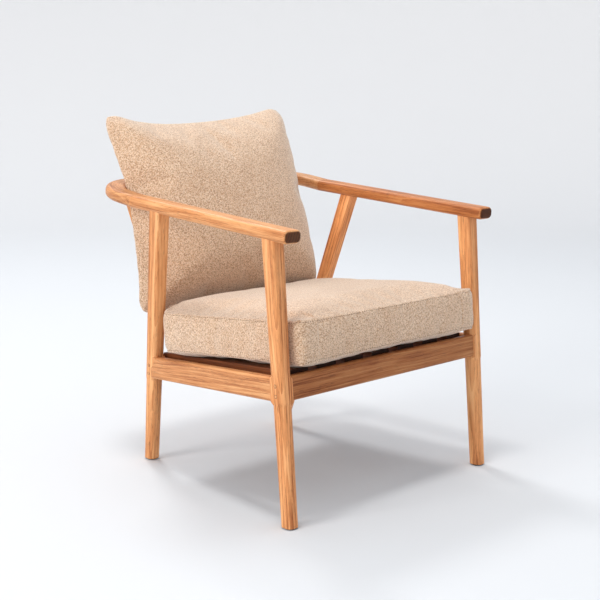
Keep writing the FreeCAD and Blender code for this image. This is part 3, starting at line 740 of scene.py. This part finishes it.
def make_seat(material, thread):
    """A box cushion: a crowned top and a bottom sewn to an upright border, notched round the
    rear legs, and resting on the slats."""
    low, high = span("seat_cover", SEAT_TURN)
    half = (high[0] - low[0]) / 2 - SEAM_INSET
    depth = high[1] - low[1] - 2 * SEAM_INSET
    notch_x, notch_y = half - NOTCH[0], depth - NOTCH[1]
    xs = finely([-half, -notch_x, notch_x, half], GRID_STEP)
    ys = finely([0.0, notch_y, depth], GRID_STEP)
    zs = finely(SEAM_HEIGHTS, GRID_STEP)

    bm = bmesh.new()
    bottom, top = seat_panels(bm, xs, ys, notch_x, notch_y)
    column = sew_border(bm, bottom, top, zs)
    corners = [(half, 0.0, -1, 1), (half, notch_y, -1, -1), (notch_x, depth, -1, -1)]
    round_plan(bm, corners + [(-x, y, -to_x, to_y) for x, y, to_x, to_y in corners])
    fill_border(column)
    crown_panel(top, half, depth, *TOP_CROWN)
    crown_panel(bottom, half, depth, *BOTTOM_CROWN)

    bm.verts.index_update()
    low_seam = [stack[0].index for stack in column.values()]
    high_seam = [stack[-1].index for stack in column.values()]
    shift = Vector((0, low[1] + SEAM_INSET, low[2]))
    for vertex in bm.verts:
        vertex.co = (vertex.co + shift) * MM
    mesh = bpy.data.meshes.new("seat_cushion")
    bm.to_mesh(mesh)
    bm.free()
    obj = new_object("seat_cushion", mesh)
    inflate(obj, low_seam + high_seam, pressure=2.2, slack=0.012, cap=12 * MM)
    floor, side = (low[2] + SLAT_CLEAR) * MM, (high[0] + SIDE_ROOM) * MM
    front = (low[1] - FRONT_ROOM) * MM
    for vertex in mesh.vertices:
        vertex.co.z = max(vertex.co.z, floor)
        vertex.co.x = max(-side, min(side, vertex.co.x))
        vertex.co.y = max(front, vertex.co.y)
    mesh.transform(SEAT_TURN.to_4x4())
    bottom_line = [mesh.vertices[k].co.copy() for k in low_seam + low_seam[:1]]
    top_line = [mesh.vertices[k].co.copy() for k in high_seam + high_seam[:1]]
    subdivided(obj)
    give(obj, material, "seat_cushion")
    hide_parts("seat_cover", "seat_foam")
    stitch_row("seat_top_stitches", obj, top_line, SEAT_UP * -STITCH_ASIDE, thread,
               "seat_cushion")
    stitch_row("seat_bottom_stitches", obj, bottom_line, SEAT_UP * STITCH_ASIDE, thread,
               "seat_cushion")
    return obj


# ---------------------------------------------------------------- back cushion
PILLOW_LEAN = math.radians(17.0)
PILLOW_FOOT = Vector((-7.5, 187.0, 380.0))
PILLOW_YAW = -0.067      # how much further back each step towards the sitter's right is
HALF_WIDE, HALF_HIGH = 262.0, 231.0
PILLOW_ROUND = 0.16      # corner radius as a share of the half side
TOP_DIP, TOP_LOW = -0.3, 431.0           # where across the top edge is lowest, and how high
EAR_RIGHT, EAR_LEFT = 27.0, 35.0         # how far the top corners stand above that
EAR_TIP, EAR_TIP_CHANGE = 12.0, 2.0      # the last bit of each ear
FOOT_CORNERS, FOOT_ARCH = -19.0, 14.0    # the bottom edge's ends and the lift between them
CORNER_FLARE = 6.0                       # the corners reach out past the sides
WAIST, WAIST_AT, WAIST_REACH = 9.0, 285.0, 60.0    # pressed in by the arm on the right
LOW_RIGHT, LOW_RIGHT_FROM, LOW_RIGHT_RUN = 6.0, 290.0, 80.0
LOW_LEFT, LOW_LEFT_FROM = 9.0, 0.6
BOW, BOW_DEPTH, BOW_AT, BOW_REACH = 29.0, -26.0, 170.0, 276.0
TOP_FORWARD, TOP_FORWARD_FROM, TOP_FORWARD_RUN = 10.0, 230.0, 200.0
FOOT_BACK, FOOT_BACK_TO = 22.0, 230.0
FRONT_SWELL, FRONT_TAPER, REAR_SWELL = 84.0, 16.0, 38.0
INSIDE_SHARE = 0.985     # of the way across, for the place inside behind a vertex
REAR_SPREAD = 15.0       # the rear panel bags out past the seam at the sitter's right
SEAM_SMOOTHING = 5


def pillow_point(across, depth, rise):
    """The model's point for a place across the pillow, back from its plane and up its lean."""
    c, s = math.cos(PILLOW_LEAN), math.sin(PILLOW_LEAN)
    y = depth * c + rise * s + PILLOW_YAW * across
    z = -depth * s + rise * c
    return (PILLOW_FOOT + Vector((across, y, z))) * MM


def clamped(value):
    return max(0.0, min(1.0, value))


def blunt_corner(u, v):
    """Pulls a place near a corner of the unit square in, so that the corner is round."""
    over_u, over_v = abs(u) - 1 + PILLOW_ROUND, abs(v) - 1 + PILLOW_ROUND
    if over_u > 0 and over_v > 0:
        nearer = max(over_u, over_v) / math.hypot(over_u, over_v)
        u = math.copysign(1 - PILLOW_ROUND + over_u * nearer, u)
        v = math.copysign(1 - PILLOW_ROUND + over_v * nearer, v)
    return u, v


def pillow_middle(u, v):
    """The place on the surface between the two panels, with u and v from -1 to 1: its
    edges are pulled in between the corners, and it follows the leaning spindles."""
    u, v = blunt_corner(u, v)
    right, left = max(0.0, -u), max(0.0, u)
    dip = u - TOP_DIP
    ear = EAR_LEFT * (dip / (1 - TOP_DIP)) ** 2 if dip > 0 else EAR_RIGHT * (
        dip / (1 + TOP_DIP)) ** 2
    top = TOP_LOW + ear
    foot = FOOT_CORNERS + FOOT_ARCH * (1 - u * u)
    rise = foot + (top - foot) * (v + 1) / 2
    waist = WAIST * right * math.exp(-((rise - WAIST_AT) / WAIST_REACH) ** 2)
    low_right = LOW_RIGHT * right * clamped((LOW_RIGHT_FROM - rise) / LOW_RIGHT_RUN)
    across = u * (HALF_WIDE + CORNER_FLARE * abs(v) ** 6 - waist - low_right * (1 - abs(v) ** 6))
    depth = BOW_DEPTH + BOW * ((rise - BOW_AT) / BOW_REACH) ** 2
    depth -= TOP_FORWARD * clamped((rise - TOP_FORWARD_FROM) / TOP_FORWARD_RUN)
    depth += FOOT_BACK * right * max(0.0, 1 - rise / FOOT_BACK_TO)
    across -= LOW_LEFT * left * max(0.0, LOW_LEFT_FROM - v) / (1 + LOW_LEFT_FROM)
    rise += abs(u) ** 5 * max(0.0, v) ** 5 * (EAR_TIP - EAR_TIP_CHANGE * u)
    return across, depth, rise


def pillow_panel(bm, us, vs, front, rim_from=None):
    """One panel as a grid of vertices, with the place inside the pillow behind each one. The
    second panel takes the vertices on its rim from the first."""
    grid, inside = {}, {}
    last_i, last_j = len(us) - 1, len(vs) - 1
    for i, u in enumerate(us):
        for j, v in enumerate(vs):
            if rim_from is not None and (i in (0, last_i) or j in (0, last_j)):
                grid[i, j] = rim_from[i, j]
                continue
            across, depth, rise = pillow_middle(u, v)
            full = min(1 - abs(u) ** 3, 1 - abs(v) ** 3) ** 0.55
            full *= ((1 - abs(u) ** 3) * (1 - abs(v) ** 3)) ** 0.12
            swell, spread = -(FRONT_SWELL - FRONT_TAPER * v), 0.0
            if not front:
                swell = REAR_SWELL
                spread = -REAR_SPREAD * max(0.0, -u) ** 3
                spread *= (1 - abs(u) ** 9) * (1 - abs(v) ** 6)
            place = pillow_point(across + spread, depth + swell * full, rise)
            grid[i, j] = bm.verts.new(place)
            inside[grid[i, j]] = pillow_point(across * INSIDE_SHARE, depth, rise)
    for i in range(last_i):
        for j in range(last_j):
            corners = [grid[i, j], grid[i + 1, j], grid[i + 1, j + 1], grid[i, j + 1]]
            bm.faces.new(corners if front else corners[::-1])
    return grid, inside


def smooth_rim(grid, last_i, last_j):
    """Evens the seam out along itself, and gives its vertices in order."""
    rim = [(i, 0) for i in range(last_i)] + [(last_i, j) for j in range(last_j)]
    rim += [(i, last_j) for i in range(last_i, 0, -1)] + [(0, j) for j in range(last_j, 0, -1)]
    for _ in range(SEAM_SMOOTHING):
        for key, before, after in zip(rim, rim[-1:] + rim, rim[1:] + rim[:1]):
            between = (grid[before].co + grid[after].co) / 2
            grid[key].co = grid[key].co.lerp(between, 0.6)
    return [grid[key] for key in rim]


def make_pillow(material, seat):
    """A knife-edge pillow: two panels sewn together round their edge."""
    us = [x / HALF_WIDE for x in finely([-HALF_WIDE, HALF_WIDE], GRID_STEP)]
    vs = [z / HALF_HIGH for z in finely([-HALF_HIGH, HALF_HIGH], GRID_STEP)]
    bm = bmesh.new()
    front, inside = pillow_panel(bm, us, vs, True)
    _, inside_rear = pillow_panel(bm, us, vs, False, front)
    inside.update(inside_rear)
    bmesh.ops.recalc_face_normals(bm, faces=bm.faces)
    bm.verts.index_update()
    seam = [vertex.index for vertex in smooth_rim(front, len(us) - 1, len(vs) - 1)]
    inner = [Vector()] * len(bm.verts)
    for vertex, place in inside.items():
        inner[vertex.index] = place
    mesh = bpy.data.meshes.new("back_pillow")
    bm.to_mesh(mesh)
    bm.free()
    obj = new_object("back_pillow", mesh)
    inflate(obj, seam, pressure=2.4, slack=0.015, cap=22 * MM)
    press_against(obj, inner, set(seam), seat)
    subdivided(obj)
    give(obj, material, "back_cushion")
    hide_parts("back_cover", "back_filling")


PRESS_CLEAR = 2.5 * MM   # left between the pillow and what it leans on
PRESS_SPREAD, PRESS_FADE = 6, 0.75       # how far round a pressed point is evened out too
PRESS_EVENING = 4
NO_LENGTH = 1e-6


def press_against(obj, inner, held, seat):
    """Stops each point of the pillow where the way out to it from inside meets the wood
    behind it or the seat cushion under it, and evens out what was pressed."""
    solids = ["crest_rail", "corner_left", "corner_right", "arm_left", "arm_right",
              "rear_leg_left", "rear_leg_right"] + ["spindle_%d" % k for k in range(1, 8)]
    graph = bpy.context.evaluated_depsgraph_get()
    trees = [BVHTree.FromObject(nodes[name], graph) for name in solids]
    trees.append(BVHTree.FromObject(seat, graph))
    mesh = obj.data
    beside = [[] for _ in mesh.vertices]
    for edge in mesh.edges:
        a, b = edge.vertices
        beside[a].append(b)
        beside[b].append(a)
    pressed = [0.0] * len(mesh.vertices)

    def limit():
        for index, vertex in enumerate(mesh.vertices):
            if index in held:
                continue
            way = vertex.co - inner[index]
            reach = way.length
            if reach < NO_LENGTH:
                continue
            for tree in trees:
                hit, _, _, distance = tree.ray_cast(inner[index], way / reach,
                                                    reach + PRESS_CLEAR)
                if hit is not None and distance - PRESS_CLEAR < reach:
                    kept = max(0.0, distance - PRESS_CLEAR)
                    pressed[index] = 1.0
                    vertex.co = inner[index] + way / way.length * kept
                    way, reach = vertex.co - inner[index], kept
                    if reach < NO_LENGTH:
                        break

    limit()
    for _ in range(PRESS_SPREAD):
        near = list(pressed)
        for index in range(len(pressed)):
            near[index] = max(pressed[index],
                              PRESS_FADE * max(pressed[k] for k in beside[index]))
        pressed[:] = near
    for _ in range(PRESS_EVENING):
        even = [sum((mesh.vertices[k].co for k in around), Vector()) / len(around)
                for around in beside]
        for index, vertex in enumerate(mesh.vertices):
            if index not in held:
                vertex.co = vertex.co.lerp(even[index], 0.5 * min(1.0, pressed[index]))
    limit()


# ---------------------------------------------------------------- making it all
make_camera()
make_stage()
make_lights()
paint_wood()
paint_small_parts()
wool = fabric_material("looped_wool", lit=rgb(238, 211, 184), shade=rgb(208, 168, 133),
                       fleck=rgb(112, 66, 38))
thread = plain_material("sewing_thread", rgb(116, 78, 52), 0.85)
seat_cushion = make_seat(wool, thread)
make_pillow(wool, seat_cushion)
